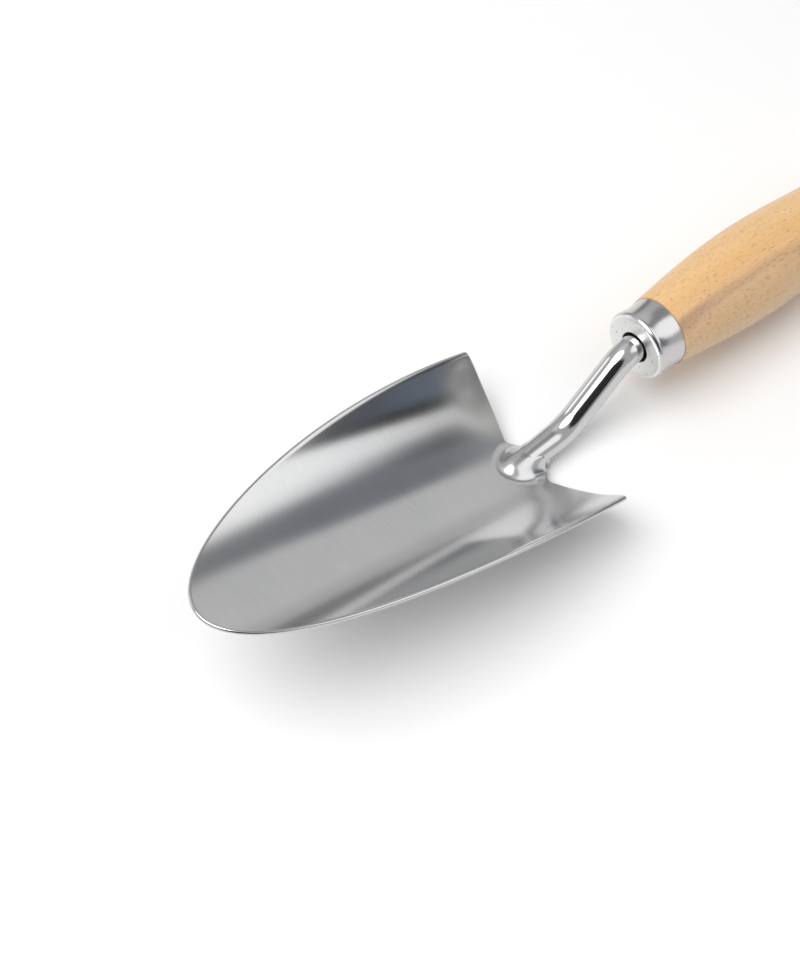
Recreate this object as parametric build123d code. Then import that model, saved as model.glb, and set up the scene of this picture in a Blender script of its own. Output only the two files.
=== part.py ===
from build123d import *
import math
import os

# Hand trowel: a pressed stainless scoop welded to a swan-necked round rod, whose
# tang is glued into a turned wooden handle behind a drawn ferrule.
#
# It is drawn first in the tool's frame: the handle's axis is X, the ferrule's face
# stands at x = 0, the blade is on the +X side and the scoop opens towards +Z.
# At the end every piece is laid down as the trowel rests on a table, on the
# blade's heel and the handle's butt, with the table at z = 0.

# ---- driving dimensions, millimetres and degrees ----

# ferrule: a drawn cup with a hole in its face
FERRULE_RADIUS = 12.0
FERRULE_LENGTH = 11.2
FERRULE_WALL = 0.9
FERRULE_CORNER = 1.6
FERRULE_WAIST = 0.35
FERRULE_HOLE_RADIUS = 5.45

# handle: a turned grip with a bulge, a waist and a domed butt
HANDLE_LENGTH = 132.0
HANDLE_STEP = 0.25
GRIP_RADIUS = 15.9
GRIP_PEAK = 56.0
WAIST_RADIUS = 13.5
WAIST_PLACE = 104.0
BUTT_RADIUS = 14.4
BUTT_DOME = 9.0
BUTT_CORNER = 6.0
HANG_HOLE_RADIUS = 3.0
HANG_HOLE_INSET = 15.0

# shank: one round rod with a tang, a bend down, a bend back and a tapered nose
ROD_RADIUS = 4.65
TANG_DEPTH = 78.0
TANG_POINT = 6.0
GLUE_GAP = 0.45
GLUE_RECESS = 2.0
DROP_ANGLE = 44.3
LEVEL_ANGLE = 7.0
FIRST_BEND_START = 0.5
FIRST_BEND_RADIUS = 10.5
NECK_RUN = 20.6
SECOND_BEND_RADIUS = 19.0
NOSE_RUN = 27.0
NOSE_RADIUS = 3.5

# blade: a scoop of one sheet, its outline drawn flat, its section an arc between
# straight walls
SHEET = 1.5
BLADE_HALF_WIDTH = 37.6
BLADE_FRONT = 124.8
BLADE_REAR = 19.4
BLADE_PITCH = 13.9
HEEL_RADIUS = 44.5
WALL_START = 31.5
SECTION_OPENING = 0.085
HEEL_DIP = 5.3
REAR_BOW = 2.2
EAR_CORNER = 1.2
NOTCH_REACH = 1.1
NOTCH_HALF_WIDTH = 13.9
TONGUE_HALF_WIDTH = 4.4
TONGUE_LENGTH = 1.8
SEAT_RUN = 6.5
HEEL_FLAT = 0.2

# neck weld: ground to concave sides, from the tongue to just past the rod's nose
WELD_MIDDLE = 8.0
WELD_TIP = 15.5
WELD_TIP_TOP = 1.3
WELD_TIP_HALF_WIDTH = 5.6
WELD_LENGTH = 21.5
WELD_END_HEIGHT = 0.2
WELD_END_TOP = 0.3
WELD_END_HALF_WIDTH = 2.2
WELD_SHOULDER = 1.1
WELD_HALF_WIDTH = 9.0
WELD_FULLNESS = 0.36
WELD_TOP_SHARE = 0.85
WELD_EDGE_CLEARANCE = 0.2

# fineness of the search for the resting tilt, and of the box's measurement
UNDERSIDE_STEPS = 400
TILT_ROUNDS = 12
FLATNESS = 0.02

# ---- sizes worked out from the ones above ----

bore_radius = ROD_RADIUS + GLUE_GAP
heel_place = -BLADE_REAR - REAR_BOW
tongue_end = heel_place - TONGUE_LENGTH
ON_BASE = (Align.CENTER, Align.CENTER, Align.MIN)


def rad(angle):
    return math.radians(angle)


def upright(edges):
    """Edges drawn flat, stood up in the XZ plane."""
    return (Plane.XZ * (Curve() + edges)).edges()


# ---- ferrule and handle ----

def cup_edges(inset):
    """The ferrule's half section from its hole to its rear lip, moved in by inset."""
    radius = FERRULE_RADIUS - inset
    corner = FERRULE_CORNER - inset
    bend = rad(45)
    knee_x = -FERRULE_CORNER + corner * math.cos(bend)
    knee_z = FERRULE_RADIUS - FERRULE_CORNER + corner * math.sin(bend)
    middle_x = -(FERRULE_CORNER + FERRULE_LENGTH) / 2
    face = Line((-inset, FERRULE_HOLE_RADIUS), (-inset, FERRULE_RADIUS - FERRULE_CORNER))
    knee = ThreePointArc(face @ 1, (knee_x, knee_z), (-FERRULE_CORNER, radius))
    barrel = ThreePointArc(knee @ 1, (middle_x, radius - FERRULE_WAIST), (-FERRULE_LENGTH, radius))
    return [face, knee, barrel]


def grip_radius(back):
    """The handle's radius at a distance behind the ferrule's face."""
    start_radius = FERRULE_RADIUS + HANDLE_STEP
    if back <= GRIP_PEAK:
        share = (back - FERRULE_LENGTH) / (GRIP_PEAK - FERRULE_LENGTH)
        return start_radius + (GRIP_RADIUS - start_radius) * math.sin(share * math.pi / 2)
    if back <= WAIST_PLACE:
        share = (back - GRIP_PEAK) / (WAIST_PLACE - GRIP_PEAK)
        return WAIST_RADIUS + (GRIP_RADIUS - WAIST_RADIUS) * (1 + math.cos(share * math.pi)) / 2
    share = (back - WAIST_PLACE) / (HANDLE_LENGTH - BUTT_DOME - WAIST_PLACE)
    return WAIST_RADIUS + (BUTT_RADIUS - WAIST_RADIUS) * (1 - math.cos(share * math.pi)) / 2


def make_ferrule():
    outer = cup_edges(0)
    inner = cup_edges(FERRULE_WALL)
    hole = Line(outer[0] @ 0, inner[0] @ 0)
    lip = Line(outer[2] @ 1, inner[2] @ 1)
    section = make_face(upright([*outer, lip, *inner, hole]))
    return revolve(section, Axis.X)


def butt_edges(start):
    """The butt's half section: a rounded corner that runs into a shallow crown."""
    offset = BUTT_RADIUS - BUTT_CORNER
    rise = BUTT_DOME ** 2 + offset ** 2 - BUTT_CORNER ** 2
    crown_radius = rise / (2 * (BUTT_DOME - BUTT_CORNER))
    crown_centre = Vector(crown_radius - HANDLE_LENGTH, 0)
    corner_centre = Vector(BUTT_DOME - HANDLE_LENGTH, offset)
    meeting = crown_centre + (corner_centre - crown_centre).normalized() * crown_radius
    corner = TangentArc(start, meeting, tangent=(-1, 0))
    turn = math.atan2(meeting.Y, crown_centre.X - meeting.X) / 2
    middle = crown_centre + Vector(-math.cos(turn), math.sin(turn)) * crown_radius
    crown = ThreePointArc(meeting, middle, (-HANDLE_LENGTH, 0))
    return [corner, crown]


def make_handle():
    inner = cup_edges(FERRULE_WALL)
    dome_start = HANDLE_LENGTH - BUTT_DOME
    stations = 12
    spacing = (dome_start - FERRULE_LENGTH) / stations
    backs = [FERRULE_LENGTH + spacing * i for i in range(stations + 1)]
    grip = Spline([(-back, grip_radius(back)) for back in backs])
    step = Line(inner[2] @ 1, grip @ 0)
    butt = butt_edges(grip @ 1)
    nose = Line((-FERRULE_WALL, 0), inner[0] @ 0)
    axis = Line(butt[1] @ 1, nose @ 0)
    section = make_face(upright([nose, *inner, step, grip, *butt, axis]))
    body = revolve(section, Axis.X)
    bore_end = TANG_DEPTH + GLUE_GAP
    bore = Pos(X=-bore_end) * (Rot(Y=90) * Cylinder(bore_radius, bore_end, align=ON_BASE))
    drill = Rot(X=90) * Cylinder(HANG_HOLE_RADIUS, 4 * BUTT_RADIUS)
    return body - bore - Pos(X=HANG_HOLE_INSET - HANDLE_LENGTH) * drill


# ---- shank ----

def rod_points():
    """Corners of the rod's centreline in the XZ plane, from the tang to the nose."""
    drop, level = rad(DROP_ANGLE), rad(LEVEL_ANGLE)
    tang = Vector(-TANG_DEPTH + TANG_POINT, 0)
    mouth = Vector(FIRST_BEND_START, 0)
    first_turn = Vector(math.sin(drop), math.cos(drop) - 1) * FIRST_BEND_RADIUS
    neck_start = mouth + first_turn
    neck_end = neck_start + Vector(math.cos(drop), -math.sin(drop)) * NECK_RUN
    second_centre = neck_end + Vector(math.sin(drop), math.cos(drop)) * SECOND_BEND_RADIUS
    nose_start = second_centre - Vector(math.sin(level), math.cos(level)) * SECOND_BEND_RADIUS
    return tang, mouth, neck_start, neck_end, second_centre, nose_start


tang_start, mouth, neck_start, neck_end, second_centre, nose_start = rod_points()
nose_direction = Vector(math.cos(rad(LEVEL_ANGLE)), -math.sin(rad(LEVEL_ANGLE)))


def make_rod():
    """The whole rod before its nose is seated on the blade."""
    half_drop = rad(DROP_ANGLE / 2)
    half_level = rad((DROP_ANGLE + LEVEL_ANGLE) / 2)
    first_turn = Vector(math.sin(half_drop), math.cos(half_drop) - 1)
    first_middle = mouth + first_turn * FIRST_BEND_RADIUS
    second_turn = Vector(math.sin(half_level), math.cos(half_level))
    second_middle = second_centre - second_turn * SECOND_BEND_RADIUS
    path = upright([
        Line(tang_start, mouth),
        ThreePointArc(mouth, first_middle, neck_start),
        Line(neck_start, neck_end),
        ThreePointArc(neck_end, second_middle, nose_start),
    ])
    end_plane = Plane(origin=(tang_start.X, 0, 0), z_dir=(1, 0, 0))
    body = sweep(end_plane * Circle(ROD_RADIUS), path=Wire(path))
    point = Plane(origin=(-TANG_DEPTH, 0, 0), z_dir=(1, 0, 0)) * Cone(
        ROD_RADIUS / 2, ROD_RADIUS, TANG_POINT, align=ON_BASE)
    nose_plane = Plane(
        origin=(nose_start.X, 0, nose_start.Y), z_dir=(nose_direction.X, 0, nose_direction.Y))
    nose = nose_plane * Cone(
        ROD_RADIUS, NOSE_RADIUS, NOSE_RUN, align=ON_BASE)
    return body + point + nose


# ---- blade ----

seat_radius = ROD_RADIUS - (ROD_RADIUS - NOSE_RADIUS) * SEAT_RUN / NOSE_RUN
nose_underside = Vector(nose_direction.Y, -nose_direction.X) * seat_radius
seat = nose_start + nose_direction * SEAT_RUN + nose_underside


def trough(place):
    """Height of the scoop's lowest line above the blade's chord, at a place along it."""
    return -HEEL_DIP * ((BLADE_FRONT - place) / (BLADE_FRONT - heel_place)) ** 2


def section_height(place, side):
    """Height of the scoop's surface above its chord: an arc, then a straight wall."""
    radius = HEEL_RADIUS + SECTION_OPENING * (place - heel_place)
    arc_side = min(abs(side), WALL_START)
    arc_drop = math.sqrt(radius ** 2 - arc_side ** 2)
    return trough(place) + radius - arc_drop + (abs(side) - arc_side) * arc_side / arc_drop


def blade_plane():
    """The blade's own plane: its origin is at the widest place and X runs to the tip."""
    pitch = rad(BLADE_PITCH)
    along = Vector(math.cos(pitch), 0, math.sin(pitch))
    upward = Vector(-math.sin(pitch), 0, math.cos(pitch))
    origin = Vector(seat.X, 0, seat.Y) - along * heel_place - upward * trough(heel_place)
    return Plane(origin=origin, x_dir=along, z_dir=upward)


def scoop_face():
    """The scoop's upper surface, larger than the blade all round."""
    rows, columns = 28, 21
    margin = 3.0
    first = tongue_end - margin
    last = BLADE_FRONT + margin
    reach = BLADE_HALF_WIDTH + margin
    grid = []
    for i in range(rows):
        place = first + (last - first) * i / (rows - 1)
        sides = [reach * (2 * j / (columns - 1) - 1) for j in range(columns)]
        grid.append([(place, side, section_height(place, side)) for side in sides])
    return Face.make_surface_from_array_of_points(grid)


def blade_outline():
    """The blade from above: a long ellipse, a bowed rear edge, two notches and a tongue."""
    ear_angle = math.degrees(math.acos(-BLADE_REAR / BLADE_FRONT))
    side = EllipticalCenterArc((0, 0), BLADE_FRONT, BLADE_HALF_WIDTH, start_angle=0, arc_size=ear_angle)
    ear = side @ 1
    rear_end = Vector(-BLADE_REAR, NOTCH_HALF_WIDTH)
    rear = ThreePointArc(ear, (heel_place, (ear.Y + NOTCH_HALF_WIDTH) / 2), rear_end)
    notch_floor = rear_end + Vector(NOTCH_REACH, (TONGUE_HALF_WIDTH - NOTCH_HALF_WIDTH) / 2)
    tongue_corner = (tongue_end, TONGUE_HALF_WIDTH)
    notch = Spline(rear_end, notch_floor, tongue_corner, tangents=[rear % 1, (-1, 0)])
    half = Curve() + [side, rear, notch]
    end = Line(tongue_corner, (tongue_end, -TONGUE_HALF_WIDTH))
    outline = make_face([*half.edges(), *mirror(half, Plane.XZ).edges(), end])
    ears = [v for v in outline.vertices() if abs(abs(v.Y) - ear.Y) < EAR_CORNER]
    return fillet(ears, EAR_CORNER)


def make_blade():
    cutter = extrude(Pos(Z=-BLADE_HALF_WIDTH) * blade_outline(), 3 * BLADE_HALF_WIDTH, dir=(0, 0, 1))
    skin = scoop_face() & cutter
    return thicken(skin, SHEET, normal_override=(0, 0, -1))


def metal_below():
    """Everything under the scoop's upper surface, which cuts what is seated on it."""
    return extrude(scoop_face(), BLADE_HALF_WIDTH, dir=(0, 0, -1))


# ---- neck weld ----

def rod_in_blade(place):
    """Height of the rod's centreline and its radius, at a place along the blade's chord."""
    slope = rad(LEVEL_ANGLE + BLADE_PITCH)
    seat_place = heel_place + seat_radius * math.sin(slope)
    height = trough(heel_place) + seat_radius * math.cos(slope) - math.tan(slope) * (place - seat_place)
    run = SEAT_RUN + (place - seat_place) / math.cos(slope)
    radius = ROD_RADIUS - (ROD_RADIUS - NOSE_RADIUS) * max(0, run) / NOSE_RUN
    return height, radius


def weld_section(place, shoulder, top_half, base_half):
    """The weld across the blade: a flat top inside the rod and a concave side each way."""
    base = section_height(place, base_half)
    low = trough(place) - SHEET
    middle_side = (top_half + base_half) / 2
    floor = section_height(place, middle_side)
    middle_height = floor + WELD_FULLNESS * (shoulder - floor)
    right = [
        Line((base_half, low), (base_half, base)),
        ThreePointArc((base_half, base), (middle_side, middle_height), (top_half, shoulder)),
    ]
    left = [
        ThreePointArc((-top_half, shoulder), (-middle_side, middle_height), (-base_half, base)),
        Line((-base_half, base), (-base_half, low)),
    ]
    top = Line((top_half, shoulder), (-top_half, shoulder))
    bottom = Line((-base_half, low), (base_half, low))
    flat = make_face([*right, top, *left, bottom])
    return Plane(origin=(place, 0, 0), x_dir=(0, 1, 0), z_dir=(1, 0, 0)) * flat


def make_weld():
    """The weld in the blade's frame, before the rod is cut away."""
    edge = TONGUE_HALF_WIDTH - WELD_EDGE_CLEARANCE
    sections = []
    for place, base_half in (
        (tongue_end + WELD_EDGE_CLEARANCE, edge),
        (heel_place, edge),
        (heel_place + WELD_MIDDLE, WELD_HALF_WIDTH),
    ):
        height, radius = rod_in_blade(place)
        sections.append(weld_section(place, height + WELD_SHOULDER, WELD_TOP_SHARE * radius, base_half))
    tip = heel_place + WELD_TIP
    sections.append(weld_section(tip, trough(tip) + WELD_SHOULDER, WELD_TIP_TOP, WELD_TIP_HALF_WIDTH))
    end = heel_place + WELD_LENGTH
    sections.append(weld_section(end, trough(end) + WELD_END_HEIGHT, WELD_END_TOP, WELD_END_HALF_WIDTH))
    return loft(sections)


# ---- adhesive round the tang ----

def make_adhesive(rod):
    bore_end = TANG_DEPTH + GLUE_GAP
    front = FERRULE_WALL + GLUE_RECESS
    fill = Pos(X=-bore_end) * (Rot(Y=90) * Cylinder(bore_radius, bore_end - front, align=ON_BASE))
    return fill - rod


# ---- the trowel as it lies on a table ----

def underside():
    """Lowest points of the handle and of the blade in the tool's frame, as x and z."""
    handle_points = []
    blade_points = []
    frame = blade_plane()
    for i in range(UNDERSIDE_STEPS + 1):
        share = i / UNDERSIDE_STEPS
        turn = rad(45 * share)
        back = HANDLE_LENGTH - BUTT_DOME + BUTT_CORNER * math.sin(turn)
        handle_points.append((-back, BUTT_CORNER - BUTT_RADIUS - BUTT_CORNER * math.cos(turn)))
        place = tongue_end + share * BLADE_FRONT
        point = frame.from_local_coords((place, 0, trough(place) - SHEET))
        blade_points.append((point.X, point.Z))
    return handle_points, blade_points


def lowest(points, tilt):
    """The point of the list that is lowest once the tool is turned by a tilt."""
    heights = [x * math.sin(tilt) + z * math.cos(tilt) for x, z in points]
    return points[heights.index(min(heights))]


def lying_tilt():
    """Angle by which the handle's axis rises towards the blade when the trowel lies down."""
    handle_points, blade_points = underside()
    tilt = 0
    for _ in range(TILT_ROUNDS):
        low_handle = lowest(handle_points, tilt)
        low_blade = lowest(blade_points, tilt)
        rise = low_blade[1] + HEEL_FLAT / math.cos(tilt) - low_handle[1]
        tilt = -math.atan2(rise, low_blade[0] - low_handle[0])
    return tilt


def make_pieces():
    """Every piece of the trowel in the tool's frame, by its node's name."""
    frame = blade_plane()
    rod = make_rod()
    below = frame * metal_below()
    weld = frame * make_weld() - rod - below
    return {
        "blade": frame * make_blade(),
        "shank": rod - below,
        "neck_weld": max(weld.solids(), key=lambda solid: solid.volume),
        "ferrule": make_ferrule(),
        "handle": make_handle(),
        "tang_adhesive": make_adhesive(rod),
    }


def box_corners(pieces):
    """Lowest and highest corner of the pieces, measured on their fine meshes."""
    points = [tuple(point) for piece in pieces for point in piece.tessellate(FLATNESS)[0]]
    low = Vector(*(min(values) for values in zip(*points)))
    high = Vector(*(max(values) for values in zip(*points)))
    return low, high


def lay_down(pieces):
    """Stand the pieces on their butt and heel, centred over the origin, the heel ground flat."""
    tilted = Rot(Y=-math.degrees(lying_tilt()))
    turned = {name: tilted * piece for name, piece in pieces.items()}
    low, high = box_corners(turned.values())
    floor = box_corners([turned["handle"]])[0].Z
    placement = Pos(X=-(low.X + high.X) / 2, Z=-floor) * tilted
    placed = {name: placement * piece for name, piece in pieces.items()}
    placed["blade"] = split(placed["blade"], bisect_by=Plane.XY, keep=Keep.TOP)
    return placed, placement


placed, placement = lay_down(make_pieces())
os.makedirs("parts", exist_ok=True)
for name, piece in placed.items():
    export_step(piece, f"parts/{name}.step")

low, high = box_corners(placed.values())
print("overall size", high - low)
print("resting tilt in degrees", math.degrees(lying_tilt()))
print("placement of the tool's frame", placement)
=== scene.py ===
"""Looks of the hand trowel: a satin scoop, a polished rod, a ferrule cup and a wooden handle."""
import logging
import math
from dataclasses import dataclass
from enum import Enum
from typing import Any, Iterable, NamedTuple, Optional, Union

import bmesh
import bpy
from mathutils import Matrix, Vector


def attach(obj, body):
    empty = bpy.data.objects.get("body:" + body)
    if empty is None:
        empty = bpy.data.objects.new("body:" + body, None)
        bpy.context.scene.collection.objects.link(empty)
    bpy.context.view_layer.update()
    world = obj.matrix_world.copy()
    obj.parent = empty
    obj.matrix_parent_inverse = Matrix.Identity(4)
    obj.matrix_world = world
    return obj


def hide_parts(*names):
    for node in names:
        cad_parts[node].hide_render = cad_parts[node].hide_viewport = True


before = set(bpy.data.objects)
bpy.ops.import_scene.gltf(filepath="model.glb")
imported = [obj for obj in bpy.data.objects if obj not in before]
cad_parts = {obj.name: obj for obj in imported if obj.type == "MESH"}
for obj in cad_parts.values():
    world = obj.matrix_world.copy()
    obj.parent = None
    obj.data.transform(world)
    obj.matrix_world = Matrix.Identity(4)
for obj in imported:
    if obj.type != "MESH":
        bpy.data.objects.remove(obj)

LOG = logging.getLogger("hand_trowel")
MM = 0.001
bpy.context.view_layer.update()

# From the handle's own axes to the floor, where the tool lies on its heel and its handle.
TILT = math.radians(5.37392)
SHIFT = Vector((-23.6556, 0.0, 25.8826))
AXIS = (math.cos(TILT), 0.0, math.sin(TILT))

# Points nearer than this, in metres, become one.
LATHE_MERGE = 1e-7
SKIN_MERGE = 2e-6

# The Mix node's sockets for colours, whose names it uses more than once.
MIX_FIRST, MIX_SECOND, MIX_RESULT = 6, 7, 2


class Slot(Enum):
    """Names of three material slots, which nothing in this script uses."""

    BLADE = "blade_steel"
    ROD = "polished_steel"
    FERRULE = "ferrule_steel"


def tool_point(x: float, y: float, z: float) -> Vector:
    """Takes a point from the handle's axes, in millimetres, to the floor frame, in metres.

    Args:
        x: Place along the handle's axis, forwards from the ferrule's face.
        y: Place across the tool.
        z: Height above the handle's axis.

    Returns:
        The point in the floor frame.
    """
    along, up = AXIS[0], AXIS[2]
    turned = Vector((x * along - z * up, y, x * up + z * along))
    return (turned + SHIFT) * MM


def smoothstep(low: float, high: float, value: float) -> float:
    """Gives a smooth share from 0 at low to 1 at high.

    Args:
        low: Value where the share is 0.
        high: Value where the share is 1.
        value: Value to look up.

    Returns:
        The share.
    """
    share = min(1.0, max(0.0, (value - low) / (high - low)))
    return share * share * (3.0 - 2.0 * share)


# ---------------------------------------------------------------- shader maths

Value = Union["Flow", float]
Colour = Union["Flow", tuple]


class Flow:
    """A number on its way through a shader, on which Python's operators add Math nodes."""

    def __init__(self, board: "Board", socket: bpy.types.NodeSocket) -> None:
        """Keeps the board that the nodes go on and the socket that carries the number."""
        self.board = board
        self.socket = socket

    def _math(self, operation: str, first: Value, second: Optional[Value] = None) -> "Flow":
        """Adds one Math node.

        Args:
            operation: The node's operation.
            first: Its first value.
            second: Its second value, where it has one.

        Returns:
            The node's result.
        """
        values = {0: first} if second is None else {0: first, 1: second}
        return self.board.node("ShaderNodeMath", {"operation": operation}, values)

    def __add__(self, other: Value) -> "Flow":
        """Adds."""
        return self._math("ADD", self, other)

    def __radd__(self, other: Value) -> "Flow":
        """Adds, from the right."""
        return self._math("ADD", other, self)

    def __sub__(self, other: Value) -> "Flow":
        """Takes away."""
        return self._math("SUBTRACT", self, other)

    def __rsub__(self, other: Value) -> "Flow":
        """Takes away, from the right."""
        return self._math("SUBTRACT", other, self)

    def __mul__(self, other: Value) -> "Flow":
        """Multiplies."""
        return self._math("MULTIPLY", self, other)

    def __rmul__(self, other: Value) -> "Flow":
        """Multiplies, from the right."""
        return self._math("MULTIPLY", other, self)

    def size(self) -> "Flow":
        """Gives the number without its sign."""
        return self._math("ABSOLUTE", self)

    def most(self, other: Value) -> "Flow":
        """Gives the larger of two numbers."""
        return self._math("MAXIMUM", self, other)

    def step(self, low: float, high: float) -> "Flow":
        """Gives a smooth share from 0 at low to 1 at high.

        Args:
            low: Value where the share is 0.
            high: Value where the share is 1.

        Returns:
            The share.
        """
        settings = {"interpolation_type": "SMOOTHSTEP", "clamp": True}
        values = {"Value": self, "From Min": low, "From Max": high}
        return self.board.node("ShaderNodeMapRange", settings, values, "Result")


class Board:
    """The node board of one material or of the surround, with short ways to add its nodes."""

    def __init__(self, owner: Union[bpy.types.Material, bpy.types.World]) -> None:
        """Clears the owner's nodes and gives it one shader: Principled, or Background for a world.

        Args:
            owner: The material or world to work on.
        """
        owner.use_nodes = True
        self.tree = owner.node_tree
        nodes = self.tree.nodes
        nodes.clear()
        surround = isinstance(owner, bpy.types.World)
        self.shader = nodes.new("ShaderNodeBackground" if surround else "ShaderNodeBsdfPrincipled")
        output = nodes.new("ShaderNodeOutputWorld" if surround else "ShaderNodeOutputMaterial")
        self.tree.links.new(self.shader.outputs[0], output.inputs["Surface"])

    def put(self, socket: bpy.types.NodeSocket, value: Any) -> None:
        """Links a flow to a socket, or sets the socket's own value.

        Args:
            socket: The input socket.
            value: A flow, a number or a tuple.
        """
        if isinstance(value, Flow):
            self.tree.links.new(value.socket, socket)
        else:
            socket.default_value = value

    def node(self, kind: str, settings: dict, values: dict, output: Union[str, int] = 0) -> Flow:
        """Adds any node.

        Args:
            kind: The node's type.
            settings: Its properties, set first.
            values: Its inputs, by name or number: numbers, tuples or flows.
            output: The output to give.

        Returns:
            The flow from that output.
        """
        made = self.tree.nodes.new(kind)
        for name, setting in settings.items():
            setattr(made, name, setting)
        for name, value in values.items():
            self.put(made.inputs[name], value)
        return Flow(self, made.outputs[output])

    def place(self) -> Flow:
        """Gives the place on the object, in metres."""
        return self.node("ShaderNodeTexCoord", {}, {}, "Object")

    def mapped(self, vector: Flow, scale: tuple, turn: tuple = (0, 0, 0)) -> Flow:
        """Turns and stretches a pattern's coordinates.

        Args:
            vector: The coordinates.
            scale: Factors along each axis.
            turn: Turns about each axis, in radians.

        Returns:
            The new coordinates.
        """
        values = {"Vector": vector, "Scale": scale, "Rotation": turn}
        return self.node("ShaderNodeMapping", {"vector_type": "POINT"}, values)

    def noise(self, vector: Flow, scale: float, detail: float, roughness: float) -> Flow:
        """Adds soft noise.

        Args:
            vector: Its coordinates.
            scale: Its scale.
            detail: Its number of finer layers.
            roughness: How strong the finer layers are.

        Returns:
            The noise, about 0 to 1.
        """
        values = {"Vector": vector, "Scale": scale, "Detail": detail, "Roughness": roughness}
        return self.node("ShaderNodeTexNoise", {}, values)

    def blend(self, share: Value, first: Colour, second: Colour) -> Flow:
        """Mixes two colours.

        Args:
            share: 0 for the first and 1 for the second.
            first: A colour or a flow.
            second: A colour or a flow.

        Returns:
            The mixed colour.
        """
        values: dict = {"Factor": share}
        for socket, colour in ((MIX_FIRST, first), (MIX_SECOND, second)):
            values[socket] = colour if isinstance(colour, Flow) else (*colour, 1.0)
        return self.node("ShaderNodeMix", {"data_type": "RGBA"}, values, MIX_RESULT)

    def split(self, vector: Flow) -> tuple:
        """Gives the three parts of a vector.

        Args:
            vector: The vector.

        Returns:
            Its x, y and z.
        """
        parts = self.node("ShaderNodeSeparateXYZ", {}, {"Vector": vector}).socket.node.outputs
        return tuple(Flow(self, part) for part in parts)

    def bump(self, height: Flow, distance: float, strength: float) -> None:
        """Raises the surface's shading by a height.

        Args:
            height: The height, about 0 to 1.
            distance: What 1 stands for, in metres.
            strength: How much of it shows.
        """
        values = {"Strength": strength, "Distance": distance, "Height": height}
        normal = self.node("ShaderNodeBump", {}, values, "Normal")
        self.put(self.shader.inputs["Normal"], normal)

    def finish(self, **sockets: Any) -> None:
        """Sets the shader's sockets, with _ for a space in a name.

        Args:
            **sockets: The value of each.
        """
        for name, value in sockets.items():
            self.put(self.shader.inputs[name.replace("_", " ")], value)


# ---------------------------------------------------------------- finishes


@dataclass(frozen=True)
class SatinSteel:
    """Stainless sheet with fine lines brushed across it and a softer gloss at the ground neck."""

    name: str = "satin_steel"
    colour: tuple = (0.545, 0.55, 0.56)
    worn: tuple = (0.62, 0.62, 0.615)
    neck: tuple = (0.016, 0.0, 0.012)
    neck_reach: tuple = (0.010, 0.045)
    hair_scale: tuple = (3000.0, 110.0, 300.0)
    hair_turn: tuple = (0.0, 0.0, 0.35)
    fine_scale: tuple = (5200.0, 320.0, 700.0)
    fine_turn: tuple = (0.0, 0.0, 0.28)
    cloud_scale: float = 38.0
    neck_rough: float = 0.20
    sheet_gain: float = 0.075
    hair_depth: float = 0.0000035

    def make(self) -> bpy.types.Material:
        """Makes the material.

        Returns:
            The material.
        """
        material = bpy.data.materials.new(self.name)
        board = Board(material)
        place = board.place()
        hairs = board.noise(board.mapped(place, self.hair_scale, self.hair_turn), 1.0, 2.0, 0.6)
        fine = board.noise(board.mapped(place, self.fine_scale, self.fine_turn), 1.0, 1.0, 0.5)
        cloud = board.noise(place, self.cloud_scale, 3.0, 0.55)
        away = board.node(
            "ShaderNodeVectorMath", {"operation": "DISTANCE"}, {0: place, 1: self.neck}, "Value")
        satin = away.step(*self.neck_reach)
        scratch = hairs.step(0.66, 0.80) * 0.5 + fine.step(0.62, 0.80) * 0.5
        wear = cloud.step(0.25, 0.75) * 0.5 + hairs.step(0.35, 0.70) * 0.3
        gloss = self.neck_rough - satin * self.sheet_gain
        board.finish(
            Base_Color=board.blend(wear, self.colour, self.worn),
            Metallic=1.0,
            Roughness=gloss + cloud * 0.04 + satin * scratch * 0.05,
        )
        board.bump(hairs * 0.4 + fine * 0.6, self.hair_depth, 0.8)
        return material


@dataclass(frozen=True)
class PolishedSteel:
    """Stainless rod with a mirror polish and faint marks of use."""

    name: str = "polished_rod"
    colour: tuple = (0.58, 0.575, 0.575)
    rubbed: tuple = (0.52, 0.515, 0.51)
    rough: float = 0.08
    mark_scale: tuple = (60.0, 900.0, 60.0)
    cloud_scale: float = 120.0
    mark_depth: float = 0.000002

    def make(self) -> bpy.types.Material:
        """Makes the material.

        Returns:
            The material.
        """
        material = bpy.data.materials.new(self.name)
        board = Board(material)
        place = board.place()
        marks = board.noise(board.mapped(place, self.mark_scale), 1.0, 3.0, 0.6)
        cloud = board.noise(place, self.cloud_scale, 2.0, 0.5)
        board.finish(
            Base_Color=board.blend(marks.step(0.55, 0.80) * 0.25, self.colour, self.rubbed),
            Metallic=1.0,
            Roughness=self.rough + cloud * 0.05 + marks.step(0.60, 0.75) * 0.05,
        )
        board.bump(marks, self.mark_depth, 0.35)
        return material


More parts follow.
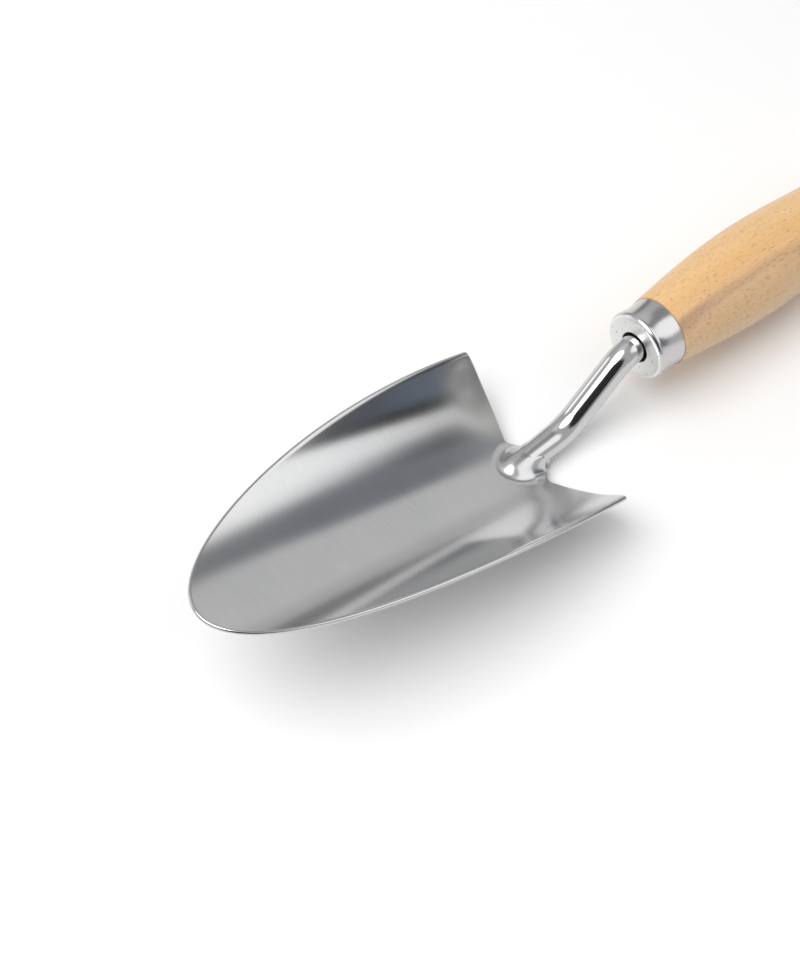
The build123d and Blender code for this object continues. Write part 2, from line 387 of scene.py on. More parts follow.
@dataclass(frozen=True)
class FerruleSteel:
    """The ferrule's steel: a polished barrel and a satin face with small dark pits; the face's
    lighter colour is a painted reflection.
    """

    name: str = "polished_cup"
    barrel: tuple = (0.58, 0.575, 0.575)
    # Painted reflection: the face's steel is much lighter than the barrel's.
    face: tuple = (0.86, 0.86, 0.85)
    pit: tuple = (0.12, 0.11, 0.10)
    rough: float = 0.17
    face_reach: tuple = (0.0001, 0.0007)
    ring_scale: tuple = (4200.0, 90.0, 90.0)
    grain_scale: float = 2600.0
    pit_scale: float = 1500.0
    cloud_scale: float = 160.0
    grain_depth: float = 0.000012

    def make(self) -> bpy.types.Material:
        """Makes the material.

        Returns:
            The material.
        """
        material = bpy.data.materials.new(self.name)
        board = Board(material)
        place = board.place()
        x, _y, z = board.split(place)
        front = tool_point(0, 0, 0)
        back = front.x * AXIS[0] + front.z * AXIS[2] - (x * AXIS[0] + z * AXIS[2])
        satin = 1 - back.step(*self.face_reach)
        rings = board.noise(board.mapped(place, self.ring_scale, (0.0, TILT, 0.0)), 1.0, 2.0, 0.6)
        grain = board.noise(place, self.grain_scale, 2.0, 0.6)
        pits = board.noise(place, self.pit_scale, 1.0, 0.4).step(0.70, 0.76) * satin
        cloud = board.noise(place, self.cloud_scale, 2.0, 0.5)
        gloss = self.rough + cloud * 0.05 + rings.step(0.6, 0.8) * 0.05
        # The face's lighter colour is a painted reflection; its higher roughness is its satin
        # finish.
        board.finish(
            Base_Color=board.blend(pits, board.blend(satin, self.barrel, self.face), self.pit),
            Metallic=1.0,
            Roughness=gloss + satin * 0.20 + pits * 0.2,
        )
        board.bump(grain * satin + rings * 0.15 - pits, self.grain_depth, 0.6)
        return material


@dataclass(frozen=True)
class LacqueredWood:
    """Pale hardwood under satin lacquer: lengthwise grain, dark pores and one reddish streak.

    The wood inside the bore, which shows through the ferrule's hole, is painted almost black:
    painted shade of that deep recess.
    """

    name: str = "lacquered_wood"
    honey: tuple = (0.78, 0.445, 0.18)
    pale: tuple = (0.83, 0.555, 0.275)
    brown: tuple = (0.50, 0.285, 0.125)
    red: tuple = (0.36, 0.15, 0.065)
    beige: tuple = (0.60, 0.43, 0.27)
    pore: tuple = (0.20, 0.09, 0.04)
    # Painted shade: the colour that the wood inside the ferrule's hole turns to.
    painted_bore_shade: tuple = (0.012, 0.010, 0.009)
    painted_bore_shade_reach: tuple = (-0.0255, -0.0245)
    sway_scale: tuple = (7.0, 20.0, 20.0)
    ring_scale: float = 330.0
    fibre_scale: tuple = (45.0, 2600.0, 2600.0)
    broad_scale: tuple = (9.0, 150.0, 150.0)
    pore_scale: tuple = (330.0, 5400.0, 5400.0)
    streak_side: float = 0.0045
    streak_reach: tuple = (0.0004, 0.0030)
    streak_rise: tuple = (0.016, 0.024)
    beige_reach: tuple = (0.003, 0.011)
    coat: float = 0.35
    coat_rough: float = 0.22
    grain_depth: float = 0.00004

    def make(self) -> bpy.types.Material:
        """Makes the material.

        Returns:
            The material.
        """
        material = bpy.data.materials.new(self.name)
        board = Board(material)
        laid = board.mapped(board.place(), (1.0, 1.0, 1.0), (0.0, TILT, 0.0))
        x, y, z = board.split(laid)
        sway = board.noise(board.mapped(laid, self.sway_scale), 1.0, 2.0, 0.5) - 0.5
        ring = (y * 0.75 + z * 0.66 + sway * 0.010) * self.ring_scale
        rings = board.node("ShaderNodeMath", {"operation": "SINE"}, {0: ring}) * 0.5 + 0.5
        fibre = board.noise(board.mapped(laid, self.fibre_scale), 1.0, 3.0, 0.65)
        broad = board.noise(board.mapped(laid, self.broad_scale), 1.0, 3.0, 0.55)
        pores = board.noise(board.mapped(laid, self.pore_scale), 1.0, 1.0, 0.4).step(0.645, 0.72)
        off_streak = (y - z * 0.10 + sway * 0.009) - self.streak_side
        streak = 1 - off_streak.size().step(*self.streak_reach)
        streak = streak * z.step(*self.streak_rise) * broad.step(0.2, 0.6)
        low_side = (y + sway * 0.02).step(*self.beige_reach)
        tone = board.blend(rings * 0.55 + broad * 0.25, self.honey, self.pale)
        tone = board.blend((fibre - 0.35).most(0.0) * 0.9, tone, self.brown)
        tone = board.blend(streak * 0.95, tone, self.red)
        tone = board.blend(low_side * 0.55, tone, self.beige)
        tone = board.blend(pores * (0.75 + low_side * 0.2), tone, self.pore)
        # Painted shade: just behind the ferrule's face, inside its hole, the wood turns almost
        # black.
        tone = board.blend(x.step(*self.painted_bore_shade_reach), tone, self.painted_bore_shade)
        board.finish(
            Base_Color=tone,
            Metallic=0.0,
            Roughness=0.42 - rings * 0.05 + pores * 0.2,
            Coat_Weight=self.coat,
            Coat_Roughness=self.coat_rough,
        )
        board.bump(fibre * 0.35 - pores, self.grain_depth, 0.5)
        return material


@dataclass(frozen=True)
class DarkGlue:
    """Cured epoxy in the bottom of the handle's bore."""

    name: str = "dark_glue"
    dark: tuple = (0.030, 0.026, 0.020)
    pale: tuple = (0.075, 0.062, 0.045)
    cloud_scale: float = 600.0
    depth: float = 0.0001

    def make(self) -> bpy.types.Material:
        """Makes the material.

        Returns:
            The material.
        """
        material = bpy.data.materials.new(self.name)
        board = Board(material)
        cloud = board.noise(board.place(), self.cloud_scale, 3.0, 0.6)
        board.finish(
            Base_Color=board.blend(cloud, self.dark, self.pale), Roughness=0.35 + cloud * 0.2)
        board.bump(cloud, self.depth, 0.5)
        return material


# ---------------------------------------------------------------- mesh helpers


def make_piece(
    name: str,
    bm: bmesh.types.BMesh,
    material: bpy.types.Material,
    nodes: Iterable[str],
) -> bpy.types.Object:
    """Turns a finished bmesh into a piece that rides on the tool and stands for CAD nodes.

    Args:
        name: The piece's name.
        bm: Its mesh, which is freed.
        material: Its material.
        nodes: The CAD nodes that it stands for.

    Returns:
        The piece.
    """
    mesh = bpy.data.meshes.new(name)
    bm.to_mesh(mesh)
    bm.free()
    mesh.polygons.foreach_set("use_smooth", [True] * len(mesh.polygons))
    mesh.materials.append(material)
    piece = bpy.data.objects.new(name, mesh)
    bpy.context.scene.collection.objects.link(piece)
    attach(piece, "root")
    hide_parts(*nodes)
    LOG.info("%s: %d faces, in place of %s", name, len(mesh.polygons), ", ".join(nodes))
    return piece


def lathe(bm: bmesh.types.BMesh, profile: list, steps: int) -> None:
    """Spins a profile about the handle's axis into a closed surface.

    Args:
        bm: The bmesh to add to.
        profile: Places back along the axis and radii, in millimetres.
        steps: Number of steps round.
    """
    line = [bm.verts.new(tool_point(-back, 0.0, radius)) for back, radius in profile]
    edges = [bm.edges.new(pair) for pair in zip(line, line[1:])]
    bmesh.ops.spin(
        bm, geom=[*line, *edges], cent=tool_point(0, 0, 0), axis=AXIS,
        angle=2 * math.pi, steps=steps, use_merge=True)
    bmesh.ops.remove_doubles(bm, verts=bm.verts[:], dist=LATHE_MERGE)
    bmesh.ops.recalc_face_normals(bm, faces=bm.faces[:])


def arc_profile(centre: tuple, radius: float, start: float, end: float, steps: int) -> list:
    """Gives points on an arc of a profile.

    Args:
        centre: Its centre, as a place back along the axis and a radius.
        radius: Its radius.
        start: Its first angle in degrees, from the backward direction towards outwards.
        end: Its last angle.
        steps: Number of steps.

    Returns:
        The points, both ends included.
    """
    angles = [math.radians(start + (end - start) * i / steps) for i in range(steps + 1)]
    return [(centre[0] + radius * math.cos(a), centre[1] + radius * math.sin(a)) for a in angles]


# ---------------------------------------------------------------- scoop


@dataclass
class Scoop:
    """The blade with the neck's ground fillets, in millimetres in the blade's own axes.

    The first axis runs along the blade's chord to its tip, the second across it and the third
    up from it. The outline is an ellipse about the origin, cut off by the rear edge.
    """

    origin: tuple = (59.14, 0.0, -17.43)
    pitch: float = 13.9
    front: float = 124.8
    half_width: float = 37.6
    rear: float = 19.4
    sheet: float = 1.5
    rim: float = 0.62

    # The trough, whose arc opens towards the tip, and where its straight walls start.
    heel: float = -21.6
    dip: float = 5.3
    heel_radius: float = 44.5
    opening: float = 0.085
    wall_start: float = 31.5

    # The rear edge: bowed ears with eased corners, two notches, and the tongue between them.
    ear_start: float = 14.5
    ear_step: float = 0.26
    ear_bow: float = 2.2
    ear_middle: float = 25.5
    ear_half: float = 11.7
    ear_trim: float = 0.014
    corner_start: float = 35.6
    corner_run: float = 1.3
    corner_cut: float = 0.6
    notch: float = -18.6
    notch_start: float = 10.6
    tongue: float = 5.9
    tongue_half: float = 4.3
    tongue_curve: float = 1.7

    # The rod's nose as the fillet meets it.
    nose_slope: float = 20.9
    nose_place: float = -20.18
    nose_height: float = -1.09
    nose_radius: float = 4.43
    nose_taper: float = 0.0426
    nose_back: float = -6.5
    nose_end: float = 10.0

    # The ground fillet: its reach, how that eases, and the box that it keeps within.
    fillet: float = 6.8
    front_ease: tuple = (-14.0, -6.0)
    front_loss: float = 0.45
    rear_ease: tuple = (-24.5, -18.5)
    rear_share: float = 0.2
    neck_half: float = 16.0
    neck_front: float = 12.0
    neck_height: float = 12.0

    # Under the rod the skin sinks, so that it stays hidden.
    sink: float = 2.5
    sink_ease: tuple = (-13.0, -9.0)
    sink_rise: tuple = (0.75, 1.5)

    # How fine the mesh is, and how its lines crowd at the rear edge and the middle.
    rows: int = 200
    columns: int = 140
    rear_crowding: float = 1.25
    middle_crowding: float = 0.45
    side_corner: float = 34.0
    rim_steps: int = 8
    halvings: int = 26
    slope_gap: float = 0.05
    touch: float = 1e-6

    def at(self, along: float, side: float, up: float) -> Vector:
        """Takes a point from the blade's axes to the floor frame.

        Args:
            along: Place along the chord.
            side: Place across it.
            up: Height above it.

        Returns:
            The point, in metres.
        """
        pitch = math.radians(self.pitch)
        x = self.origin[0] + along * math.cos(pitch) - up * math.sin(pitch)
        z = self.origin[2] + along * math.sin(pitch) + up * math.cos(pitch)
        return tool_point(x, side, z)

    def height(self, along: float, side: float) -> float:
        """Gives the height of the scoop's upper surface: an arc across, then a straight wall.

        Args:
            along: Place along the chord.
            side: Place across it.

        Returns:
            The height above the chord.
        """
        trough = -self.dip * ((self.front - along) / (self.front - self.heel)) ** 2
        radius = self.heel_radius + self.opening * (along - self.heel)
        arc_side = min(abs(side), self.wall_start)
        drop = math.sqrt(radius ** 2 - arc_side ** 2)
        return trough + radius - drop + (abs(side) - arc_side) * arc_side / drop

    def skin(self, along: float, side: float) -> Vector:
        """Gives the point of the upper surface, in the blade's axes."""
        return Vector((along, side, self.height(along, side)))

    def up_normal(self, along: float, side: float) -> Vector:
        """Gives the upward normal of the scoop's upper surface.

        Args:
            along: Place along the chord.
            side: Place across it.

        Returns:
            The normal, in the blade's axes.
        """
        gap = self.slope_gap
        rise_along = self.height(along + gap, side) - self.height(along - gap, side)
        rise_side = self.height(along, side + gap) - self.height(along, side - gap)
        return Vector((-rise_along / (2 * gap), -rise_side / (2 * gap), 1.0)).normalized()

    def rear_curve(self, side: float) -> float:
        """Gives the rear edge's place at a place across.

        Args:
            side: Place across the blade.

        Returns:
            Place along the chord.
        """
        away = abs(side)
        if away >= self.ear_start:
            bow = self.ear_bow * (1 - ((away - self.ear_middle) / self.ear_half) ** 2)
            past = max(0.0, away - self.corner_start) / self.corner_run
            return -self.rear - bow + self.corner_cut * past ** 2
        if away >= self.notch_start:
            share = smoothstep(self.notch_start, self.ear_start, away)
            return self.notch + (-self.rear - self.ear_step - self.notch) * share
        share = (self.notch_start - away) / (self.notch_start - self.tongue_half)
        return self.notch - self.tongue * min(1.0, share) ** self.tongue_curve

    def ear_angle(self) -> float:
        """Gives the ellipse's angle at the ear's corner, from the tip."""
        return math.acos(-self.rear / self.front) - self.ear_trim

    def on_ring(self, angle: float) -> Vector:
        """Gives the point at an angle of the ellipse, inset by the rim's radius."""
        along, side = self.front - self.rim, self.half_width - self.rim
        return Vector((along * math.cos(angle), side * math.sin(angle)))

    def on_rear(self, share: float) -> Vector:
        """Gives the point at a share across of the rear edge, inset by the rim's radius."""
        side = share * self.on_ring(self.ear_angle()).y
        return Vector((self.rear_curve(side) + self.rim, side))

    def outline(self, share_along: float, share_across: float) -> Vector:
        """Maps a square onto the blade's outline, its rear side on the rear edge.

        Args:
            share_along: 0 at the rear edge and 1 at the tip's side.
            share_across: -1 at the right ear and 1 at the left ear.

        Returns:
            The place along and across, inset from the edge by the rim's radius.
        """
        corner, ear = math.radians(self.side_corner), self.ear_angle()
        flank = ear + (corner - ear) * share_along
        left, right = self.on_ring(flank), self.on_ring(-flank)
        back, fore = self.on_rear(share_across), self.on_ring(corner * share_across)
        s, t = share_along, (share_across + 1) / 2
        corners = (
            self.on_rear(-1.0) * (1 - s) * (1 - t) + self.on_rear(1.0) * (1 - s) * t
            + self.on_ring(-corner) * s * (1 - t) + self.on_ring(corner) * s * t)
        return left * t + right * (1 - t) + back * (1 - s) + fore * s - corners

    def rod_gap(self, along: float, side: float, up: float) -> float:
        """Gives the distance from a point to the rod's tapered nose, negative inside it.

        Args:
            along: Place along the chord.
            side: Place across it.
            up: Height above it.

        Returns:
            The distance.
        """
        slope = math.radians(self.nose_slope)
        dx, dz = along - self.nose_place, up - self.nose_height
        run = dx * math.cos(slope) - dz * math.sin(slope)
        off = dx * math.sin(slope) + dz * math.cos(slope)
        radius = self.nose_radius - self.nose_taper * max(self.nose_back, min(run, self.nose_end))
        beyond = max(0.0, run - self.nose_end)
        return math.sqrt(off * off + side * side + beyond * beyond) - radius

    def softness(self, along: float) -> float:
        """Gives the fillet's reach, which shrinks towards the nose and the tongue's end.

        Args:
            along: Place along the chord.

        Returns:
            The reach.
        """
        forward = 1 - self.front_loss * smoothstep(*self.front_ease, along)
        behind = self.rear_share + (1 - self.rear_share) * smoothstep(*self.rear_ease, along)
        return self.fillet * forward * behind

    def joined_height(self, along: float, side: float) -> float:
        """Gives the ground surface's height, where a fillet joins the scoop to the rod.

        Args:
            along: Place along the chord.
            side: Place across it.

        Returns:
            The height above the chord.
        """
        base = self.height(along, side)
        if abs(side) > self.neck_half or along > self.neck_front:
            return base
        soft = self.softness(along)

        def gap(up: float) -> float:
            """Gives the distance to the joined surface, negative inside it.

            Args:
                up: Height above the chord.

            Returns:
                The distance.
            """
            first, second = up - base, self.rod_gap(along, side, up)
            apart = max(0.0, soft - abs(first - second))
            return min(first, second) - apart * apart / (4 * soft)

        low, high = base, base + self.neck_height
        if gap(low) > -self.touch:
            return base
        for _ in range(self.halvings):
            middle = (low + high) / 2
            low, high = (low, middle) if gap(middle) > 0 else (middle, high)
        up = (low + high) / 2
        hidden = 1.0 - smoothstep(*self.sink_ease, along)
        risen = smoothstep(self.sink_rise[0] * soft, self.sink_rise[1] * soft, up - base)
        return up - self.sink * hidden * risen

    def build(self) -> bmesh.types.BMesh:
        """Builds the blade: an upper and a lower skin, joined by a rounded rim.

        Returns:
            The bmesh.
        """
        bm = bmesh.new()
        bmesh.ops.create_grid(bm, x_segments=self.rows, y_segments=self.columns, size=0.5)
        places = {}
        for vert in bm.verts:
            s, t = vert.co.x + 0.5, vert.co.y * 2
            crowded = t * (self.middle_crowding + (1 - self.middle_crowding) * t * t)
            places[vert] = tuple(self.outline(s ** self.rear_crowding, crowded))
        edge = [e for e in bm.edges if e.is_boundary]
        outward = self.outward(edge, places)
        lower = bmesh.ops.duplicate(bm, geom=[*bm.verts, *bm.edges, *bm.faces])
        for vert, (along, side) in places.items():
            under = self.skin(along, side) - self.up_normal(along, side) * self.sheet
            vert.co = self.at(along, side, self.joined_height(along, side))
            lower["vert_map"][vert].co = self.at(*under)
        lower_faces = [f for f in lower["geom"] if isinstance(f, bmesh.types.BMFace)]
        bmesh.ops.reverse_faces(bm, faces=lower_faces)
        self.round_rim(bm, edge, places, outward)
        bmesh.ops.remove_doubles(bm, verts=bm.verts[:], dist=SKIN_MERGE)
        bmesh.ops.recalc_face_normals(bm, faces=bm.faces[:])
        return bm

    def outward(self, edge: list, places: dict) -> dict:
        """Gives each edge vertex's outward direction in the blade's plan.

        Args:
            edge: The sheet's boundary edges.
            places: Each vertex's place along and across.

        Returns:
            The direction of each vertex.
        """
        beside: dict = {}
        for e in edge:
            for vert in e.verts:
                beside.setdefault(vert, []).append(e.other_vert(vert))
        found = {}
        for vert, pair in beside.items():
            tangent = Vector(places[pair[1]]) - Vector(places[pair[0]])
            normal = Vector((tangent.y, -tangent.x)).normalized()
            inner = [e.other_vert(vert) for e in vert.link_edges if not e.is_boundary] or pair
            inwards = Vector(places[inner[0]]) - Vector(places[vert])
            found[vert] = -normal if normal.dot(inwards) > 0 else normal
        return found

    def round_rim(
        self, bm: bmesh.types.BMesh, edge: list, places: dict, outward: dict,
    ) -> None:
        """Rolls the rim round from the upper skin's edge to the lower skin's.

        Args:
            bm: The bmesh.
            edge: The upper skin's boundary edges.
            places: Each edge vertex's place along and across.
            outward: Each edge vertex's outward direction.
        """
        loop = edge
        roots = {vert: vert for e in edge for vert in e.verts}
        for i in range(1, self.rim_steps + 1):
            angle = math.pi / 2 - math.pi * i / self.rim_steps
            made = bmesh.ops.extrude_edge_only(bm, edges=loop)["geom"]
            fresh = dict.fromkeys(g for g in made if isinstance(g, bmesh.types.BMVert))
            loop = [
                g for g in made
                if isinstance(g, bmesh.types.BMEdge) and all(v in fresh for v in g.verts)]
            for vert in fresh:
                beside = (e.other_vert(vert) for e in vert.link_edges)
                fresh[vert] = roots[next(old for old in beside if old in roots)]
            roots = fresh
            for vert, root in roots.items():
                self.lay_rim(vert, places[root], outward[root], angle)

    def lay_rim(
        self, vert: bmesh.types.BMVert, place: tuple, outward: Vector, angle: float,
    ) -> None:
        """Puts one vertex of the rim in its place.

        Args:
            vert: The vertex.
            place: The skin's edge beside it, along and across.
            outward: The outward direction there.
            angle: Its angle round the rim, from a quarter turn at the top to minus one below.
        """
        normal, base = self.up_normal(*place), self.skin(*place)
        out = Vector((*outward, 0.0))
        out = (out - normal * out.dot(normal)).normalized()
        half = self.sheet / 2
        rise = normal * (half * math.sin(angle) - half)
        moved = base + out * self.rim * math.cos(angle) + rise
        lift = (self.joined_height(*place) - base.z) * (0.5 + 0.5 * math.sin(angle))
        vert.co = self.at(moved.x, moved.y, moved.z + lift)

    def dress(self, material: bpy.types.Material) -> bpy.types.Object:
        """Makes the piece with its finish."""
        return make_piece("scoop", self.build(), material, ["blade", "neck_weld"])


# ---------------------------------------------------------------- rod


class Ring(NamedTuple):
    """A ring of the rod: its centre, its heading in radians and its radius."""

    x: float
    z: float
    heading: float
    radius: float

    def ahead(self, run: float, radius: float) -> "Ring":
        """Gives the ring straight ahead.

        Args:
            run: How far ahead.
            radius: The new ring's radius.

        Returns:
            The new ring.
        """
        x = self.x + run * math.cos(self.heading)
        z = self.z + run * math.sin(self.heading)
        return Ring(x, z, self.heading, radius)


def closed(bm: bmesh.types.BMesh, verts: list) -> list:
    """Gives the edges of a closed row of vertices."""
    return [bm.edges.get(pair) for pair in zip(verts, verts[1:] + verts[:1])]


@dataclass
class Rod:
    """The swan-necked rod, in millimetres in the handle's axes."""

    radius: float = 4.65
    nose_radius: float = 3.5
    tang: float = -78.0
    tang_taper: float = 6.0
    mouth: float = 0.5
    first_radius: float = 10.5
    second_radius: float = 19.0
    drop: float = 44.3
    level: float = 7.0
    neck_run: float = 20.6
    nose_run: float = 27.0
    nose_end: float = 20.1
    nose_edge: float = 3.7
    sides: int = 96
    spacing: float = 0.8
    bend_steps: int = 8
    taper_steps: int = 12
    edge_steps: int = 6

    def nose_at(self, run: float) -> float:
        """Gives the tapered nose's radius at a distance along it."""
        return self.radius - (self.radius - self.nose_radius) * run / self.nose_run

    def bend(self, start: Ring, radius: float, degrees: float) -> list:
        """Gives the rings round a bend.

        Args:
            start: The ring before it.
            radius: The bend's radius.
            degrees: How far it turns, upwards if positive.

        Returns:
            The rings.
        """
        turn = math.radians(degrees)
        steps = max(self.bend_steps, int(abs(turn) * radius / self.spacing))
        step = turn / steps
        chord = 2 * radius * math.sin(abs(step) / 2)
        rings = [start]
        for _ in range(steps):
            x, z, heading, thickness = rings[-1]
            x += chord * math.cos(heading + step / 2)
            z += chord * math.sin(heading + step / 2)
            rings.append(Ring(x, z, heading + step, thickness))
        return rings[1:]

    def rings(self) -> list:
        """Gives the rod's rings: the tang, two bends with a run between them, and the nose.

        Returns:
            The rings, from the tang's end to the nose's.
        """
        found = [
            Ring(self.tang, 0.0, 0.0, self.radius / 2),
            Ring(self.tang + self.tang_taper, 0.0, 0.0, self.radius),
            Ring(self.mouth, 0.0, 0.0, self.radius),
        ]
        found += self.bend(found[-1], self.first_radius, -self.drop)
        found.append(found[-1].ahead(self.neck_run, self.radius))
        found += self.bend(found[-1], self.second_radius, self.drop - self.level)
        start = found[-1]
        for i in range(1, self.taper_steps + 1):
            run = (self.nose_end - self.nose_edge) * i / self.taper_steps
            found.append(start.ahead(run, self.nose_at(run)))
        for i in range(1, self.edge_steps + 1):
            turn = math.radians(90.0 / self.edge_steps * i)
            run = self.nose_end - self.nose_edge * (1 - math.sin(turn))
            radius = self.nose_at(self.nose_end) - self.nose_edge * (1 - math.cos(turn))
            found.append(start.ahead(run, radius))
        return found

    def lay(self, verts: list, units: list, ring: Ring) -> None:
        """Puts a row of vertices round a ring.

        Args:
            verts: The vertices.
            units: Their places on a circle of radius 1.
            ring: The ring.
        """
        across = Vector((-math.sin(ring.heading), math.cos(ring.heading)))
        for vert, unit in zip(verts, units):
            x = ring.x + across.x * unit.x * ring.radius
            z = ring.z + across.y * unit.x * ring.radius
            vert.co = tool_point(x, unit.y * ring.radius, z)

    def build(self) -> bmesh.types.BMesh:
        """Builds the rod from one circle, extruded ring by ring along its line.

        Returns:
            The bmesh.
        """
        bm = bmesh.new()
        circle = bmesh.ops.create_circle(bm, segments=self.sides, radius=1.0, cap_ends=False)
        row = circle["verts"]
        units = [vert.co.copy() for vert in row]
        first, *others = self.rings()
        self.lay(row, units, first)
        tail = list(row)
        for ring in others:
            made = bmesh.ops.extrude_edge_only(bm, edges=closed(bm, row))["geom"]
            fresh = {g for g in made if isinstance(g, bmesh.types.BMVert)}
            row = [
                next(e.other_vert(v) for e in v.link_edges if e.other_vert(v) in fresh)
                for v in row]
            self.lay(row, units, ring)
        for end in (tail, row):
            bmesh.ops.contextual_create(bm, geom=closed(bm, end))
        bmesh.ops.recalc_face_normals(bm, faces=bm.faces[:])
        return bm

    def dress(self, material: bpy.types.Material) -> bpy.types.Object:
        """Makes the piece with its finish."""
        return make_piece("rod", self.build(), material, ["shank"])


# ---------------------------------------------------------------- ferrule


@dataclass
class Ferrule:
    """The drawn cup on the front of the handle, in millimetres."""

    radius: float = 12.0
    length: float = 11.2
    wall: float = 0.9
    corner: float = 1.6
    waist: float = 0.35
    hole: float = 5.45
    hole_edge: float = 0.25
    lip: float = 0.22
    steps: int = 192
    hole_steps: int = 4
    face_steps: int = 6
    corner_steps: int = 14
    barrel_steps: int = 24
    lip_steps: int = 5
    inside_steps: int = 8

    def barrel(self, share: float, inset: float) -> tuple:
        """Gives a point on the slightly waisted barrel.

        Args:
            share: 0 at the corner and 1 at the lip.
            inset: How far in from the outside.

        Returns:
            Place back along the axis, and radius.
        """
        back = self.corner + (self.length - self.corner) * share
        return back, self.radius - inset - self.waist * (1 - (2 * share - 1) ** 2)

    def section(self) -> list:
        """Gives the cup's section, with softened edges at its hole and lip.

        Returns:
            Places back along the axis and radii, once round.
        """
        face, edge, lip = self.radius - self.corner, self.hole_edge, self.lip
        hole = arc_profile((edge, self.hole + edge), edge, -90, -180, self.hole_steps)
        width = face - self.hole
        return [
            (self.wall, self.hole),
            (edge, self.hole),
            *hole[1:],
            *((0.0, self.hole + width * i / self.face_steps) for i in range(1, self.face_steps)),
            *arc_profile((self.corner, face), self.corner, 180, 90, self.corner_steps),
            *(self.barrel(i / self.barrel_steps, 0.0) for i in range(1, self.barrel_steps)),
            *arc_profile((self.length - lip, self.radius - lip), lip, 90, 0, self.lip_steps),
            *(self.barrel(1 - i / self.inside_steps, self.wall)
              for i in range(self.inside_steps + 1)),
            (self.wall, face),
        ]

    def build(self) -> bmesh.types.BMesh:
        """Builds the cup from its section.

        Returns:
            The bmesh.
        """
        section = self.section()
        bm = bmesh.new()
        lathe(bm, [*section, section[0]], self.steps)
        return bm

    def dress(self, material: bpy.types.Material) -> bpy.types.Object:
        """Makes the piece with its finish."""
        return make_piece("ferrule_cup", self.build(), material, ["ferrule"])


# ---------------------------------------------------------------- handle


@dataclass
class Grip:
    """The turned handle and the glue in its bore, whose shapes the CAD nodes already have."""

    wood: str = "handle"
    glue: str = "tang_adhesive"

    def dress(self, wood: bpy.types.Material, glue: bpy.types.Material) -> None:
        """Gives the wood and the glue their finishes.

        Args:
            wood: The wood's finish.
            glue: The glue's finish.
        """
        for name, finish in ((self.wood, wood), (self.glue, glue)):
            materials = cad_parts[name].data.materials
            materials.clear()
            materials.append(finish)
            LOG.info("%s: CAD node, finish %s", name, finish.name)


# ---------------------------------------------------------------- studio


def direction(azimuth: float, elevation: float) -> Vector:
    """Gives a direction.

    Args:
        azimuth: Degrees from forwards towards the left.
        elevation: Degrees above the floor.

    Returns:
        The direction, of length 1.
    """
    turn, rise = math.radians(azimuth), math.radians(elevation)
    return Vector(
        (math.cos(rise) * math.cos(turn), math.cos(rise) * math.sin(turn), math.sin(rise)))


@dataclass(frozen=True)
class Panel:
    """A soft-edged bright or dark part of the studio's surround, in degrees.

    It is full inside its inner angle, and fades out at its outer angle.
    """

    azimuth: float
    elevation: float
    inner: float
    outer: float
    light: float
    tint: tuple = (1.0, 1.0, 1.0)


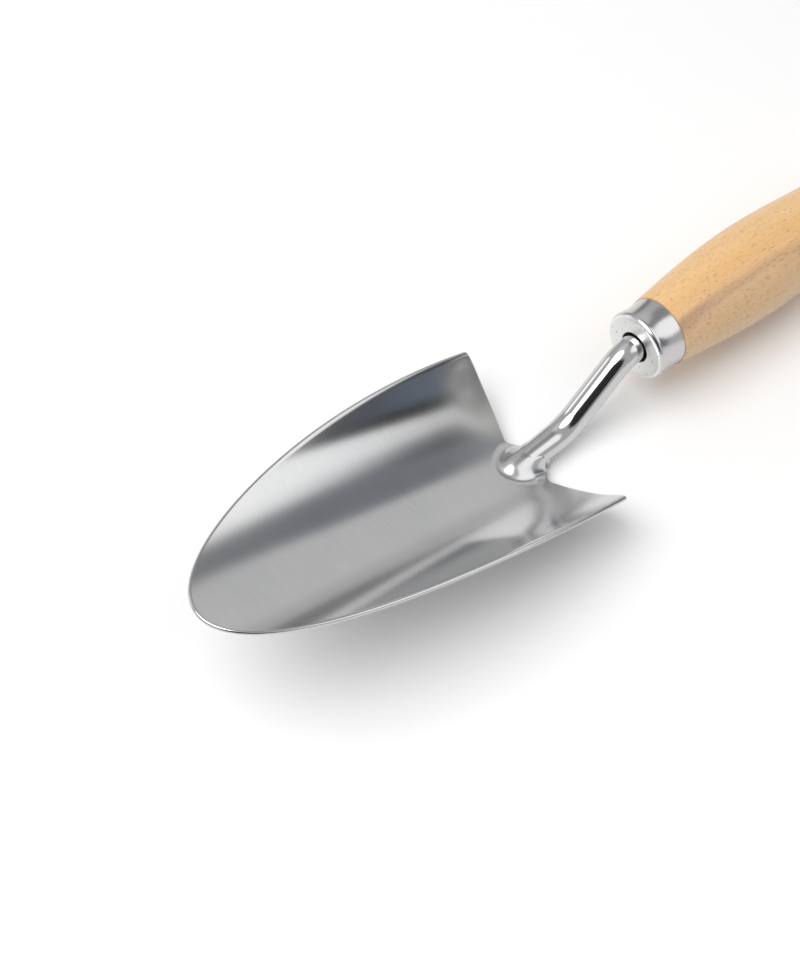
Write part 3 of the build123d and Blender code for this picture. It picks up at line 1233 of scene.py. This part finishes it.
@dataclass
class Studio:
    """The pale floor, the soft surround, the overhead light and the camera.

    A panel covers those before it.
    """

    eye: tuple = (0.35467, 0.30150, 0.66904)
    right: tuple = (-0.7484, 0.6630, 0.0120)
    up: tuple = (-0.5497, -0.6300, 0.5479)
    lens: float = 91.4
    sensor: float = 36.0
    nearest: float = 0.01
    target: tuple = (0.02, 0.0, 0.02)
    even: float = 0.60
    top_azimuth: float = -15.0
    top_elevation: float = 62.0
    top_distance: float = 1.3
    top_size: float = 1.15
    top_power: float = 13.6
    floor_half: float = 4.0
    floor_cells: int = 8
    paper: tuple = (0.88, 0.88, 0.88, 1.0)
    panels: tuple = (
        Panel(45.0, 26.0, 22.0, 34.0, 0.04),
        Panel(-2.0, 30.0, 20.0, 30.0, 0.04),
        Panel(-62.0, 14.0, 6.0, 14.0, 1.7),
        Panel(-90.0, 62.0, 10.0, 24.0, 0.85),
        Panel(-165.0, 52.0, 14.0, 28.0, 0.34),
        Panel(-155.0, 22.0, 14.0, 22.0, 0.74),
        Panel(-121.0, 0.0, 12.0, 17.0, 0.27),
        Panel(140.0, 43.0, 21.0, 29.0, 1.45),
        Panel(-178.0, 26.0, 7.0, 13.0, 0.27, (0.94, 0.98, 1.08)),
        Panel(170.0, 20.0, 3.5, 9.0, 0.06, (0.80, 0.95, 1.30)),
        Panel(145.5, 11.0, 9.0, 12.5, 0.0),
        Panel(139.0, 8.0, 5.0, 13.0, 0.20, (0.80, 0.97, 1.25)),
    )

    def build_floor(self) -> None:
        """Lays a large pale floor under the tool."""
        bm = bmesh.new()
        cells = self.floor_cells
        bmesh.ops.create_grid(bm, x_segments=cells, y_segments=cells, size=self.floor_half)
        mesh = bpy.data.meshes.new("studio_floor")
        bm.to_mesh(mesh)
        bm.free()
        material = bpy.data.materials.new("floor_paper")
        Board(material).finish(Base_Color=self.paper, Roughness=0.9, Specular_IOR_Level=0.1)
        mesh.materials.append(material)
        floor = bpy.data.objects.new("studio_floor", mesh)
        bpy.context.scene.collection.objects.link(floor)

    def build_surround(self) -> None:
        """Makes the surround, whose soft panels are what the steel mirrors."""
        world = bpy.data.worlds.new("studio")
        board = Board(world)
        way = board.node("ShaderNodeTexCoord", {}, {}, "Generated")
        tone: Colour = (self.even,) * 3
        for panel in self.panels:
            aim = tuple(direction(panel.azimuth, panel.elevation))
            facing = board.node(
                "ShaderNodeVectorMath", {"operation": "DOT_PRODUCT"}, {0: way, 1: aim}, "Value")
            fade, full = (math.cos(math.radians(a)) for a in (panel.outer, panel.inner))
            light = tuple(panel.light * part for part in panel.tint)
            tone = board.blend(facing.step(fade, full), tone, light)
        board.put(board.shader.inputs["Color"], tone)
        bpy.context.scene.world = world

    def build_light(self) -> None:
        """Hangs one large soft light overhead."""
        data = bpy.data.lights.new("overhead", "AREA")
        data.shape = "DISK"
        data.size = self.top_size
        data.energy = self.top_power
        light = bpy.data.objects.new("overhead", data)
        way = direction(self.top_azimuth, self.top_elevation)
        light.location = Vector(self.target) + way * self.top_distance
        light.rotation_euler = way.to_track_quat("Z", "Y").to_euler()
        bpy.context.scene.collection.objects.link(light)

    def build_camera(self) -> None:
        """Adds the camera."""
        data = bpy.data.cameras.new("camera")
        data.lens = self.lens
        data.sensor_width = self.sensor
        data.clip_start = self.nearest
        camera = bpy.data.objects.new("camera", data)
        right, up = Vector(self.right).normalized(), Vector(self.up).normalized()
        back = right.cross(up).normalized()
        turn = Matrix((right, back.cross(right), back)).transposed()
        camera.matrix_world = Matrix.Translation(Vector(self.eye)) @ turn.to_4x4()
        bpy.context.scene.collection.objects.link(camera)
        bpy.context.scene.camera = camera

    def build(self) -> None:
        """Builds the whole studio."""
        self.build_camera()
        self.build_floor()
        self.build_surround()
        self.build_light()
        bpy.context.scene.view_settings.view_transform = "Standard"
        LOG.info("studio: camera, floor, light and %d panels", len(self.panels))


def main() -> None:
    """Builds every sub-assembly and the studio."""
    logging.basicConfig(level=logging.INFO, format="%(name)s %(message)s")
    Studio().build()
    Scoop().dress(SatinSteel().make())
    Rod().dress(PolishedSteel().make())
    Ferrule().dress(FerruleSteel().make())
    Grip().dress(LacqueredWood().make(), DarkGlue().make())


if __name__ == "__main__":
    main()
